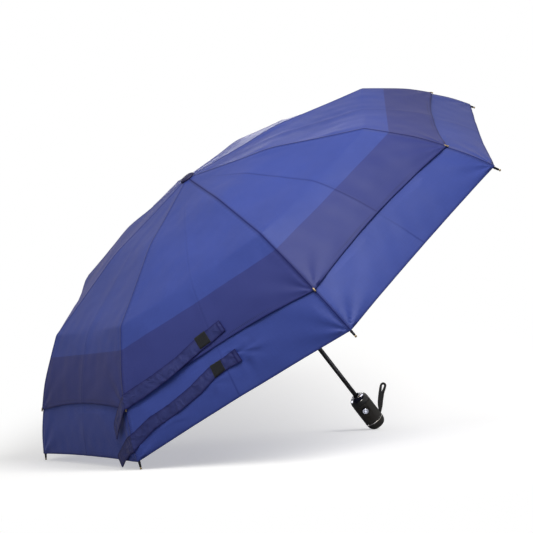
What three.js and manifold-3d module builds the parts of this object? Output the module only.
// Three-section folding umbrella with a vented double canopy, shown open.
// Millimetres, +Z up. The origin is the centre of the flat base of the handle,
// the shaft runs along +Z and the crown is at the top. Rib 1 lies at azimuth 0
// (along +X) and the ribs are numbered anticlockwise seen from above.

import * as THREE from "three";
import { mergeVertices } from "three/addons/utils/BufferGeometryUtils.js";
import Module from "manifold-3d";

const wasm = await Module();
wasm.setup();

const rad = THREE.MathUtils.degToRad;

// ---------------------------------------------------------------- dimensions
const RIBS = 8;
const RIB_PITCH = (2 * Math.PI) / RIBS;
const CROWN_Z = 615; // height of the crown datum over the handle base

// hinge circles of the ribs at the crown and of the stretchers at the runner
const PIVOT_R = 9.4;
const PIVOT_Z = -8; // from the crown datum
const WIRE_R = 0.45; // ring wire that the ribs are threaded on
const SLOT_ROOT_R = 7.1; // slots that keep the rib eyes apart
const SLOT_HALF = 1.3;

// rib sections: each bar is a plate or a pair of cheeks about a radial plane
const BAR_HALF = 1.4; // half of the depth of a bar
const OFFSET = 2.6; // hinge pins stand this far off a bar's centreline
const TONGUE = 0.85; // half thickness of a single plate
const CHEEK_IN = 1.15;
const CHEEK_OUT = 1.85;
const WEB_HALF = CHEEK_IN + 0.2; // webs and pins run a little into the cheeks
const PIN_HALF = CHEEK_IN + 0.3;
const PIN_R = 0.6;
const EYE_HOLE_R = 1.0;
const EYE_HALF = 1.7; // eyes are squares with their corners cut off
const EYE_FLAT = 0.7; // half length of a flat side of an eye
const LUG_HALF = 1.8; // half width of the ears and of the top rib's fork

// rib lengths between hinges, and slopes in degrees below horizontal
const TOP_LENGTH = 181;
const TOP_SLOPE = 8.8;
const MID_LENGTH = 177;
const MID_SLOPE = 15.6;
const OUTER_SLOPE = 36.5; // at its hinge
const OUTER_BEND = 17.5; // slope gained along the outer rib
const OUTER_CHORD = 219;
const STRETCHER = 90; // also the distance from crown hinge to stretcher pin
const LUG_DROP = 3.2; // stretcher pin below the top rib's centreline
const ROD_HALF = 1.2;
const ROD_END_HALF = 0.7;
const TIP_SLEEVE = 11;

// shaft: three telescoping tubes, the thinnest in the handle
const TUBE_WALL = 0.5;
const TUBES = {
  lower_tube: { radius: 4.25, z0: 24, z1: 257.5 },
  middle_tube: { radius: 5.15, z0: 239.5, z1: 417 },
  upper_tube: { radius: 6.05, z0: 397, z1: CROWN_Z - 5 },
};

// handle
const HANDLE_R = 18.5;
const HANDLE_TOP = 78;
const BASE_FLAT_R = 10.5;
const BUTTON_AZIMUTH = rad(73.5);
const BUTTON_Z = 47.8;
const STRAP_AZIMUTH = rad(174);
const STRAP_Z = 18.4;
const STRAP_RISE = rad(47); // slope of the wrist strap, upwards going out
const STRAP_HALF_WIDTH = 2;
const STRAP_SLOT_HALF = 2.6;

// canopy profiles along a rib: [radius, height from the crown datum]
const UPPER_PROFILE = [
  [14.8, -4.6], [60, -11.2], [120, -19.8], [188, -29.4], [245, -45.2],
  [302, -61.3], [358, -76.2], [391, -101.2], [430, -132.6], [463, -166],
];
const LOWER_PROFILE = [
  [391, -104.6], [430, -136.4], [463, -169.6], [490, -200.4], [512, -231],
];
const FABRIC = 0.7;
const UPPER_SCALLOP = 10; // how far the hem bows in between two ribs
const LOWER_SCALLOP = 7;

// closing straps: bands on the outside of one gore
const BAND_GORE = 2; // the gore that starts at this rib
const BAND_HALF = 10;
const BAND_UNDERSIDE = 0.5; // off the canopy surface
const BAND_OUTSIDE = 1.3;
const BAND_STEPS = 6;

// ---------------------------------------------------------------- materials
const standard = (options) => new THREE.MeshStandardMaterial(options);
const MATERIALS = {
  fabric: standard({ color: 0x2b2f92, roughness: 0.55, metalness: 0 }),
  cap: standard({ color: 0x23256f, roughness: 0.6, metalness: 0 }),
  rubber: standard({ color: 0x1b1b1d, roughness: 0.6, metalness: 0 }),
  gloss: standard({ color: 0x101012, roughness: 0.15, metalness: 0 }),
  silver: standard({ color: 0xb9bcc2, roughness: 0.25, metalness: 0.9 }),
  tube: standard({ color: 0x151517, roughness: 0.3, metalness: 0.6 }),
  rib: standard({ color: 0x26272b, roughness: 0.35, metalness: 0.7 }),
  nickel: standard({ color: 0xc6bfae, roughness: 0.3, metalness: 0.9 }),
  webbing: standard({ color: 0x17171b, roughness: 0.85, metalness: 0 }),
};

// ---------------------------------------------------------------- helpers
const root = new THREE.Group();

function add(name, geometry, material, parent = root) {
  const mesh = new THREE.Mesh(geometry, material);
  mesh.name = name;
  parent.add(mesh);
  return mesh;
}

// a group whose +X points outwards at an azimuth
function addArm(azimuth, z = 0) {
  const arm = new THREE.Group();
  arm.rotation.z = azimuth;
  arm.position.z = z;
  root.add(arm);
  return arm;
}

function solid(geometry) {
  const bare = geometry.clone();
  bare.deleteAttribute("normal");
  bare.deleteAttribute("uv");
  const merged = mergeVertices(bare, 1e-4);
  return new wasm.Manifold(
    new wasm.Mesh({
      numProp: 3,
      vertProperties: merged.attributes.position.array,
      triVerts: new Uint32Array(merged.index.array),
    }),
  );
}

// flat-shaded geometry of a manifold
function geometryOf(manifold) {
  const { vertProperties, triVerts } = manifold.getMesh();
  const indexed = new THREE.BufferGeometry();
  indexed.setAttribute("position", new THREE.BufferAttribute(vertProperties, 3));
  indexed.setIndex(new THREE.BufferAttribute(triVerts, 1));
  const flat = indexed.toNonIndexed();
  flat.computeVertexNormals();
  return flat;
}

// smooth-shaded geometry from a flat list of coordinates and triangle corners
function indexedGeometry(coordinates, corners) {
  const geometry = new THREE.BufferGeometry();
  geometry.setAttribute("position", new THREE.Float32BufferAttribute(coordinates, 3));
  geometry.setIndex(corners);
  geometry.computeVertexNormals();
  return geometry;
}

const union = (...geometries) =>
  geometryOf(geometries.map(solid).reduce((sum, part) => sum.add(part)));

const vectors = (points) => points.map((point) => new THREE.Vector2(...point));

// a flat plate: outlines in the radial plane [outwards, up], thick from y0 to y1
function plate(outline, y0, y1, holes = []) {
  const shape = new THREE.Shape(vectors(outline));
  shape.holes = holes.map((hole) => new THREE.Path(vectors(hole)));
  return new THREE.ExtrudeGeometry(shape, { depth: y1 - y0, bevelEnabled: false })
    .rotateX(Math.PI / 2)
    .translate(0, y1, 0);
}

const tonguePlate = (outline, holes) => plate(outline, -TONGUE, TONGUE, holes);

const cheekPair = (outline) => [
  plate(outline, CHEEK_IN, CHEEK_OUT),
  plate(outline, -CHEEK_OUT, -CHEEK_IN),
];

// octagonal hole of an eye, centred at x, z
function eyeHole(x, z) {
  const points = [];
  for (let k = 0; k < 8; k++) {
    const angle = (k * Math.PI) / 4 + Math.PI / 8;
    points.push([x + EYE_HOLE_R * Math.cos(angle), z + EYE_HOLE_R * Math.sin(angle)]);
  }
  return points;
}

const box = (x0, x1, halfY, z0, z1) =>
  new THREE.BoxGeometry(x1 - x0, 2 * halfY, z1 - z0)
    .translate((x0 + x1) / 2, 0, (z0 + z1) / 2);

// a pin across a fork, along y
const pin = (x, z) =>
  new THREE.CylinderGeometry(PIN_R, PIN_R, 2 * PIN_HALF, 8).translate(x, 0, z);

// A lathed solid about Z: the profile is a loop of [radius, height] that runs
// upwards on its outer side, so that the faces point out. A loop that starts
// off the axis is closed here.
function lathe(profile, segments = 24) {
  const points = vectors(profile);
  if (profile[0][0] > 0) points.push(points[0].clone());
  return new THREE.LatheGeometry(points, segments).rotateX(Math.PI / 2);
}

const raise = (profile, lift) => profile.map(([radius, z]) => [radius, lift + z]);

// coil about z: a square wire, given by its half diagonal, swept on a helix
function coil({ radius, wire, z0, z1, turns, stepsPerTurn }) {
  class Helix extends THREE.Curve {
    getPoint(t, target = new THREE.Vector3()) {
      const angle = t * turns * 2 * Math.PI;
      return target.set(
        radius * Math.cos(angle),
        radius * Math.sin(angle),
        z0 + (z1 - z0) * t,
      );
    }
  }
  const section = [[wire, 0], [0, wire], [-wire, 0], [0, -wire]];
  return new THREE.ExtrudeGeometry(new THREE.Shape(vectors(section)), {
    steps: turns * stepsPerTurn,
    bevelEnabled: false,
    extrudePath: new Helix(),
  });
}

// ---------------------------------------------------------------- linkage, open
// Points are [radius, height from the crown datum] in a rib's radial plane.
const along = (slope) => [Math.cos(rad(slope)), -Math.sin(rad(slope))];
const above = (slope) => [Math.sin(rad(slope)), Math.cos(rad(slope))];
const step = (point, direction, distance) => [
  point[0] + direction[0] * distance,
  point[1] + direction[1] * distance,
];

// a point given along and above a line of some slope that starts at an origin
const offsetPoint = (origin, slope, length, height) =>
  step(step(origin, along(slope), length), above(slope), height);

const crownHinge = [PIVOT_R, PIVOT_Z];
const innerJoint = offsetPoint(crownHinge, TOP_SLOPE, TOP_LENGTH, OFFSET);
const outerJoint = offsetPoint(innerJoint, MID_SLOPE, MID_LENGTH, -2 * OFFSET);

// The crown hinge, the stretcher pin and the runner hinge form an isosceles
// triangle, so the stretcher rises as steeply as the line to its pin falls.
const LUG_X = Math.sqrt(STRETCHER ** 2 - LUG_DROP ** 2); // pin's place along the rib
const STRETCHER_RISE = rad(TOP_SLOPE) + Math.asin(LUG_DROP / STRETCHER);
const runnerHinge = [PIVOT_R, PIVOT_Z - 2 * STRETCHER * Math.sin(STRETCHER_RISE)];
const RUNNER_Z = CROWN_Z + runnerHinge[1];

const OUTER_R = OUTER_CHORD / (2 * Math.sin(rad(OUTER_BEND / 2)));
const OUTER_LENGTH = OUTER_R * rad(OUTER_BEND);

// point and added slope at a length along the outer rib, in its own frame
function outerArc(length) {
  const bend = length / OUTER_R;
  return {
    x: OUTER_R * Math.sin(bend),
    z: OFFSET - OUTER_R * (1 - Math.cos(bend)),
    bend,
  };
}

// top rib: folded channel open below, with one eye at the crown, a fork at its
// outer end and two ears below for the stretcher
function topRib() {
  const cheek = [
    [7, -BAR_HALF],
    [LUG_X - 3.2, -BAR_HALF],
    [LUG_X - LUG_HALF, -LUG_DROP - EYE_FLAT],
    [LUG_X - EYE_FLAT, -LUG_DROP - LUG_HALF],
    [LUG_X + EYE_FLAT, -LUG_DROP - LUG_HALF],
    [LUG_X + LUG_HALF, -LUG_DROP - EYE_FLAT],
    [LUG_X + 3.2, -BAR_HALF],
    [TOP_LENGTH + 1.0, -BAR_HALF],
    [TOP_LENGTH + LUG_HALF, -0.6],
    [TOP_LENGTH + LUG_HALF, OFFSET + EYE_FLAT],
    [TOP_LENGTH + EYE_FLAT, OFFSET + EYE_HALF],
    [TOP_LENGTH - EYE_FLAT, OFFSET + EYE_HALF],
    [TOP_LENGTH - LUG_HALF, OFFSET + EYE_FLAT],
    [TOP_LENGTH - 3.2, BAR_HALF],
    [7, BAR_HALF],
  ];
  const tongue = [
    [-EYE_HALF, -EYE_FLAT],
    [-EYE_FLAT, -EYE_HALF],
    [0.9, -EYE_HALF],
    [2.4, -BAR_HALF],
    [8, -BAR_HALF],
    [8, BAR_HALF],
    [2.4, BAR_HALF],
    [0.9, EYE_HALF],
    [-EYE_FLAT, EYE_HALF],
    [-EYE_HALF, EYE_FLAT],
  ];
  return union(
    ...cheekPair(cheek),
    tonguePlate(tongue, [eyeHole(0, 0)]),
    box(5, 9, CHEEK_OUT, -BAR_HALF, BAR_HALF), // joins tongue and cheeks
    box(8, TOP_LENGTH - 4.5, WEB_HALF, BAR_HALF - 0.7, BAR_HALF), // channel web
    pin(LUG_X, -LUG_DROP),
    pin(TOP_LENGTH, OFFSET),
  );
}

// stretcher: a plain link between the rib's ears and the runner
function stretcher() {
  const outline = [
    [-EYE_HALF, -EYE_FLAT],
    [-EYE_FLAT, -EYE_HALF],
    [1.2, -BAR_HALF],
    [STRETCHER - 1.2, -BAR_HALF],
    [STRETCHER + EYE_FLAT, -EYE_HALF],
    [STRETCHER + EYE_HALF, -EYE_FLAT],
    [STRETCHER + EYE_HALF, EYE_FLAT],
    [STRETCHER + EYE_FLAT, EYE_HALF],
    [STRETCHER - 1.2, BAR_HALF],
    [1.2, BAR_HALF],
    [-EYE_FLAT, EYE_HALF],
    [-EYE_HALF, EYE_FLAT],
  ];
  return union(tonguePlate(outline, [eyeHole(0, 0), eyeHole(STRETCHER, 0)]));
}

// middle rib: a bar with a raised eye at its inner end and a dropped one outside
function middleRib() {
  const barTop = -OFFSET + BAR_HALF;
  const barBottom = -OFFSET - BAR_HALF;
  const eyeZ = -2 * OFFSET; // outer eye
  const outline = [
    [-1.2, barBottom],
    [MID_LENGTH - 3, barBottom],
    [MID_LENGTH - EYE_HALF, eyeZ - EYE_FLAT],
    [MID_LENGTH - EYE_FLAT, eyeZ - EYE_HALF],
    [MID_LENGTH + EYE_FLAT, eyeZ - EYE_HALF],
    [MID_LENGTH + EYE_HALF, eyeZ - EYE_FLAT],
    [MID_LENGTH + EYE_HALF, barTop - 0.6],
    [MID_LENGTH + 1.1, barTop],
    [3, barTop],
    [EYE_HALF, EYE_FLAT],
    [EYE_FLAT, EYE_HALF],
    [-EYE_FLAT, EYE_HALF],
    [-EYE_HALF, EYE_FLAT],
    [-EYE_HALF, barBottom + 0.6],
  ];
  return union(tonguePlate(outline, [eyeHole(0, 0), eyeHole(MID_LENGTH, eyeZ)]));
}

// a square rod that follows the outer rib's arc between two lengths
function arcRod(from, to, half, steps) {
  const over = [];
  const under = [];
  for (let k = 0; k <= steps; k++) {
    const { x, z, bend } = outerArc(from + ((to - from) * k) / steps);
    const dx = half * Math.sin(bend);
    const dz = half * Math.cos(bend);
    over.push([x + dx, z + dz]);
    under.push([x - dx, z - dz]);
  }
  return plate([...under, ...over.reverse()], -half, half);
}

// outer rib: a fork and a springy rod that curves down to the canopy corner
function outerRib() {
  const barTop = OFFSET + BAR_HALF;
  const barBottom = OFFSET - BAR_HALF;
  const cheek = [
    [-EYE_FLAT, -EYE_HALF],
    [EYE_FLAT, -EYE_HALF],
    [EYE_HALF, -EYE_FLAT],
    [3, barBottom],
    [13, barBottom],
    [13, barTop],
    [-0.9, barTop],
    [-EYE_HALF, barTop - 0.8],
    [-EYE_HALF, -EYE_FLAT],
  ];
  const sleeveStart = OUTER_LENGTH - TIP_SLEEVE;
  return union(
    ...cheekPair(cheek),
    box(7, 12.5, WEB_HALF, barBottom, barTop),
    arcRod(8, sleeveStart - 1, ROD_HALF, 9),
    arcRod(sleeveStart - 3, OUTER_LENGTH, ROD_END_HALF, 1),
    pin(0, 0),
  );
}

// metal tip: a ferrule over the rod's end with a bead that the canopy is sewn to
function ribTip() {
  const sleeveEnd = 0.6 - TIP_SLEEVE;
  const profile = [
    [0, 0.5], [1.35, 0.5], [1.35, sleeveEnd], [1.8, sleeveEnd], [1.8, 0.4],
    [1.3, 1.2], [2.1, 2.4], [1.9, 3.9], [0.9, 4.7], [0, 4.7],
  ];
  return lathe(profile, 8).rotateY(Math.PI / 2);
}

function addRibs() {
  const rodEnd = outerArc(OUTER_LENGTH);
  const tipPoint = offsetPoint(outerJoint, OUTER_SLOPE, rodEnd.x, rodEnd.z);
  const { rib, nickel } = MATERIALS;
  // [name, geometry, material, origin in the radial plane, downward slope]
  const pieces = [
    ["top_rib_", topRib(), rib, crownHinge, rad(TOP_SLOPE)],
    ["stretcher_", stretcher(), rib, runnerHinge, -STRETCHER_RISE],
    ["middle_rib_", middleRib(), rib, innerJoint, rad(MID_SLOPE)],
    ["outer_rib_", outerRib(), rib, outerJoint, rad(OUTER_SLOPE)],
    ["rib_tip_", ribTip(), nickel, tipPoint, rad(OUTER_SLOPE) + rodEnd.bend],
  ];
  for (let i = 1; i <= RIBS; i++) {
    const arm = addArm((i - 1) * RIB_PITCH, CROWN_Z);
    for (const [name, geometry, material, origin, slope] of pieces) {
      const mesh = add(name + i, geometry, material, arm);
      mesh.position.set(origin[0], 0, origin[1]);
      mesh.rotation.y = slope;
    }
  }
}

// ---------------------------------------------------------------- crown
const ringWire = (z) =>
  new THREE.TorusGeometry(PIVOT_R, WIRE_R, 5, 24).translate(0, 0, z);

// lathed ring with a radial slot at each rib
function slottedRing(profile, slotZ0, slotZ1) {
  let ring = solid(lathe(profile));
  for (let i = 0; i < RIBS; i++) {
    const slot = box(SLOT_ROOT_R, 20, SLOT_HALF, slotZ0, slotZ1);
    ring = ring.subtract(solid(slot.rotateZ(i * RIB_PITCH)));
  }
  return geometryOf(ring);
}

// notched ring that holds the rib eyes
function crownNotch() {
  const profile = [
    [0, -4.5], [6.4, -4.5], [6.4, -15], [8.4, -15], [8.4, -5.4], [12.2, -5.4],
    [12.2, -4.8], [9.4, -3.9], [4, -3.9], [4, -1.9], [0, -1.9],
  ];
  return slottedRing(raise(profile, CROWN_Z), CROWN_Z - 20, CROWN_Z - 5.8);
}

// cap that clamps the fabric at the top
function crownCap() {
  const profile = [
    [0, -1.6], [4.4, -1.6], [4.4, -3.0], [12.2, -3.6], [14.1, -3.6],
    [14.2, -2.4], [13.2, -0.5], [10.6, 0.9], [7.5, 1.5], [0, 1.5],
  ];
  return lathe(raise(profile, CROWN_Z));
}

// ---------------------------------------------------------------- shaft
function tube({ radius, z0, z1 }) {
  const bore = radius - TUBE_WALL;
  return lathe([[bore, z0], [radius, z0], [radius, z1], [bore, z1]], 20);
}

// runner: sleeve on the upper tube that carries the stretchers' ring wire
function runner() {
  const profile = [
    [6.5, -27], [9.6, -27], [9.6, -22], [8.0, -20.5], [8.0, -7],
    [11.2, -4.6], [11.2, -2.8], [8.4, -2.8], [8.4, 3], [6.5, 3],
  ];
  return slottedRing(raise(profile, RUNNER_Z), RUNNER_Z - 2.3, RUNNER_Z + 6);
}

// power spring inside the lower tube
const powerSpring = () =>
  coil({ radius: 2.5, wire: 0.55, z0: 32, z1: 250, turns: 14, stepsPerTurn: 6 });

// ---------------------------------------------------------------- handle
// a round pocket along the button's axis
const buttonPocket = (radius, x0, x1) =>
  solid(
    new THREE.CylinderGeometry(radius, radius, x1 - x0, 20)
      .rotateZ(Math.PI / 2)
      .translate((x0 + x1) / 2, 0, BUTTON_Z)
      .rotateZ(BUTTON_AZIMUTH),
  );

// a slot for the wrist strap
const strapSlot = (x0, x1, z0, z1) =>
  solid(box(x0, x1, STRAP_SLOT_HALF, z0, z1).rotateZ(STRAP_AZIMUTH));

function baseCap() {
  const profile = [
    [0, 0], [BASE_FLAT_R, 0], [13.6, 1.2], [16.1, 3.9], [17.7, 7.6],
    [18.4, 11.6], [HANDLE_R, 15.8], [15.2, 15.8], [15.2, 20], [13.6, 20],
    [13.6, 5], [0, 5],
  ];
  return geometryOf(solid(lathe(profile, 32)).subtract(strapSlot(12, 16.2, 14, 24)));
}

// outer sleeve of the handle, open for the button and the wrist strap
function handleShell() {
  const profile = [[15.7, 16.3], [HANDLE_R, 16.3], [HANDLE_R, 60], [15.7, 60]];
  return geometryOf(
    solid(lathe(profile, 32))
      .subtract(buttonPocket(8.1, 12, 24))
      .subtract(strapSlot(13, 22, 10, STRAP_Z + 5.4)),
  );
}

// rounded collar at the top of the handle
function handleCollar() {
  const profile = [
    [4.7, 56.4], [15.3, 56.4], [15.3, 60.4], [18.4, 60.4], [18.2, 65.5],
    [17.0, 70.0], [14.6, 73.4], [11.4, 75.0], [9.2, 75.0], [9.2, HANDLE_TOP],
    [6.6, HANDLE_TOP], [6.6, 66], [4.7, 66],
  ];
  return lathe(profile, 28);
}

// core block: holds the lower tube and guides the push button
function handleCore() {
  const profile = [[0, 6], [12.8, 6], [12.8, 54.4], [4.6, 54.4], [4.6, 22], [0, 22]];
  return geometryOf(solid(lathe(profile)).subtract(buttonPocket(6.4, 8.4, 15)));
}

// turns a piece built about Z to lie outwards along the button's axis
const onButtonAxis = (geometry) =>
  geometry.rotateY(Math.PI / 2).translate(0, 0, BUTTON_Z);

// push button: a round key on a stem, pressed towards the shaft;
// [radius, distance from the shaft's axis]
function pushButton() {
  const profile = [
    [0, 10.6], [2.2, 10.6], [2.2, 14.9], [7.6, 14.9],
    [7.6, 19.2], [6.8, 20.0], [3.4, 20.3], [0, 20.3],
  ];
  return onButtonAxis(lathe(profile, 20));
}

const buttonSpring = () =>
  onButtonAxis(
    coil({ radius: 3.6, wire: 0.35, z0: 8.7, z1: 13.6, turns: 4, stepsPerTurn: 8 }),
  );

// wrist strap: a looped band whose narrow root sits in the strap slots
function wristStrap() {
  const roundEnd = (length, radius) => {
    const points = [];
    for (let k = 0; k <= 6; k++) {
      const angle = -Math.PI / 2 + (k * Math.PI) / 6;
      points.push([length - radius + radius * Math.cos(angle), radius * Math.sin(angle)]);
    }
    return points;
  };
  const outline = [
    [-1.5, -1.4], [6, -1.6], [22, -6.2],
    ...roundEnd(60, 5.6),
    [22, 6.2], [6, 1.6], [-1.5, 1.4],
  ];
  const hole = [[13, 0], [22, -4.2], ...roundEnd(58, 3.8), [22, 4.2]];
  return plate(outline, -STRAP_HALF_WIDTH, STRAP_HALF_WIDTH, [hole]);
}

function addWristStrap() {
  const arm = addArm(STRAP_AZIMUTH);
  const strap = add("wrist_strap", wristStrap(), MATERIALS.webbing, arm);
  strap.position.set(17.6, 0, STRAP_Z);
  strap.rotation.y = -STRAP_RISE;
}

// ---------------------------------------------------------------- canopies
// A station is a place along a profile: 0 at its first point, 1 at its second
// and so on, with fractions in between. Lift is a distance off the outside.

// unit vector part of the way from one direction to another
function blend(from, to, part) {
  const x = from[0] * (1 - part) + to[0] * part;
  const z = from[1] * (1 - part) + to[1] * part;
  const length = Math.hypot(x, z);
  return [x / length, z / length];
}

function profilePoint(profile, station, lift) {
  const lastSegment = profile.length - 2;
  const segment = Math.min(Math.floor(station), lastSegment);
  const part = station - segment;
  const direction = (index) => {
    const k = THREE.MathUtils.clamp(index, 0, lastSegment);
    const [start, end] = [profile[k], profile[k + 1]];
    const delta = [end[0] - start[0], end[1] - start[1]];
    return blend(delta, delta, 0);
  };
  const here = direction(segment);
  const startTangent = blend(direction(segment - 1), here, 0.5);
  const endTangent = blend(here, direction(segment + 1), 0.5);
  const tangent = blend(startTangent, endTangent, part);
  const [start, end] = [profile[segment], profile[segment + 1]];
  return [
    start[0] + (end[0] - start[0]) * part - tangent[1] * lift,
    start[1] + (end[1] - start[1]) * part + tangent[0] * lift,
  ];
}

// coordinates on the gore that starts at a rib; across is 0 there, 1 at the next rib
function gorePoint(profile, station, rib, across, lift) {
  const [radius, z] = profilePoint(profile, station, lift);
  const start = (rib - 1) * RIB_PITCH;
  const end = rib * RIB_PITCH;
  return [
    radius * (Math.cos(start) * (1 - across) + Math.cos(end) * across),
    radius * (Math.sin(start) * (1 - across) + Math.sin(end) * across),
    z + CROWN_Z,
  ];
}

// station at a distance in from the hem, on the scale of the last segment
function inFromHem(profile, distance) {
  const [start, end] = profile.slice(-2);
  const segmentLength = Math.hypot(end[0] - start[0], end[1] - start[1]);
  return profile.length - 1 - distance / segmentLength;
}

// closed shell of fabric round all the gores
function canopy(profile, scallop, columnsPerGore) {
  const rows = profile.length;
  const hem = rows - 1;
  const columns = RIBS * columnsPerGore;
  const coordinates = [];
  const corners = [];
  for (const lift of [0, -FABRIC]) {
    for (let c = 0; c < columns; c++) {
      const rib = 1 + Math.floor(c / columnsPerGore);
      const across = (c % columnsPerGore) / columnsPerGore;
      const bow = 4 * across * (1 - across) * scallop;
      for (let r = 0; r < rows; r++) {
        const station = r === hem ? inFromHem(profile, bow) : r;
        coordinates.push(...gorePoint(profile, station, rib, across, lift));
      }
    }
  }
  const quad = (a, b, c, d) => corners.push(a, b, c, a, c, d);
  const outside = (c, r) => (c % columns) * rows + r;
  const inside = (c, r) => columns * rows + outside(c, r);
  for (let c = 0; c < columns; c++) {
    const next = c + 1;
    for (let r = 0; r < hem; r++) {
      quad(outside(c, r), outside(c, r + 1), outside(next, r + 1), outside(next, r));
      quad(inside(c, r), inside(next, r), inside(next, r + 1), inside(c, r + 1));
    }
    quad(outside(c, 0), outside(next, 0), inside(next, 0), inside(c, 0));
    quad(outside(c, hem), inside(c, hem), inside(next, hem), outside(next, hem));
  }
  return indexedGeometry(coordinates, corners);
}

// closing strap: a sewn band that lies on a gore;
// its ends are [place across the gore, distance of its middle in from the hem]
function closingStrap(profile, from, to) {
  const section = [
    [-BAND_HALF, BAND_UNDERSIDE],
    [BAND_HALF, BAND_UNDERSIDE],
    [BAND_HALF, BAND_OUTSIDE],
    [-BAND_HALF, BAND_OUTSIDE],
  ];
  const coordinates = [];
  const corners = [];
  for (let k = 0; k <= BAND_STEPS; k++) {
    const t = k / BAND_STEPS;
    const across = from[0] + (to[0] - from[0]) * t;
    const distance = from[1] + (to[1] - from[1]) * t;
    for (const [side, lift] of section) {
      const station = inFromHem(profile, distance + side);
      coordinates.push(...gorePoint(profile, station, BAND_GORE, across, lift));
    }
  }
  for (let k = 0; k < BAND_STEPS; k++) {
    for (let j = 0; j < 4; j++) {
      const a = 4 * k + j;
      const b = 4 * k + ((j + 1) % 4);
      corners.push(a, b, b + 4, a, b + 4, a + 4);
    }
  }
  const end = 4 * BAND_STEPS;
  corners.push(0, 2, 1, 0, 3, 2);
  corners.push(end, end + 1, end + 2, end, end + 2, end + 3);
  return indexedGeometry(coordinates, corners);
}

// ---------------------------------------------------------------- assembly
const { fabric, cap, rubber, gloss, silver, nickel } = MATERIALS;

addRibs();
add("crown_notch", crownNotch(), rubber);
add("crown_ring_wire", ringWire(CROWN_Z + PIVOT_Z), nickel);
add("crown_cap", crownCap(), cap);

for (const [name, size] of Object.entries(TUBES)) add(name, tube(size), MATERIALS.tube);
add("runner", runner(), rubber);
add("runner_ring_wire", ringWire(RUNNER_Z), nickel);
add("power_spring", powerSpring(), nickel);

const buttonArm = addArm(BUTTON_AZIMUTH);
add("handle_base_cap", baseCap(), rubber);
add("handle_shell", handleShell(), rubber);
add("handle_collar", handleCollar(), gloss);
add("handle_core", handleCore(), rubber);
add("push_button", pushButton(), silver, buttonArm);
add("button_spring", buttonSpring(), nickel, buttonArm);
addWristStrap();

add("canopy_upper", canopy(UPPER_PROFILE, UPPER_SCALLOP, 2), fabric);
add("canopy_lower", canopy(LOWER_PROFILE, LOWER_SCALLOP, 4), fabric);
add("closing_strap_upper", closingStrap(UPPER_PROFILE, [0.03, 11], [0.5, 33]), fabric);
add("closing_strap_lower", closingStrap(LOWER_PROFILE, [0.03, 12], [0.52, 34]), fabric);

export default root;
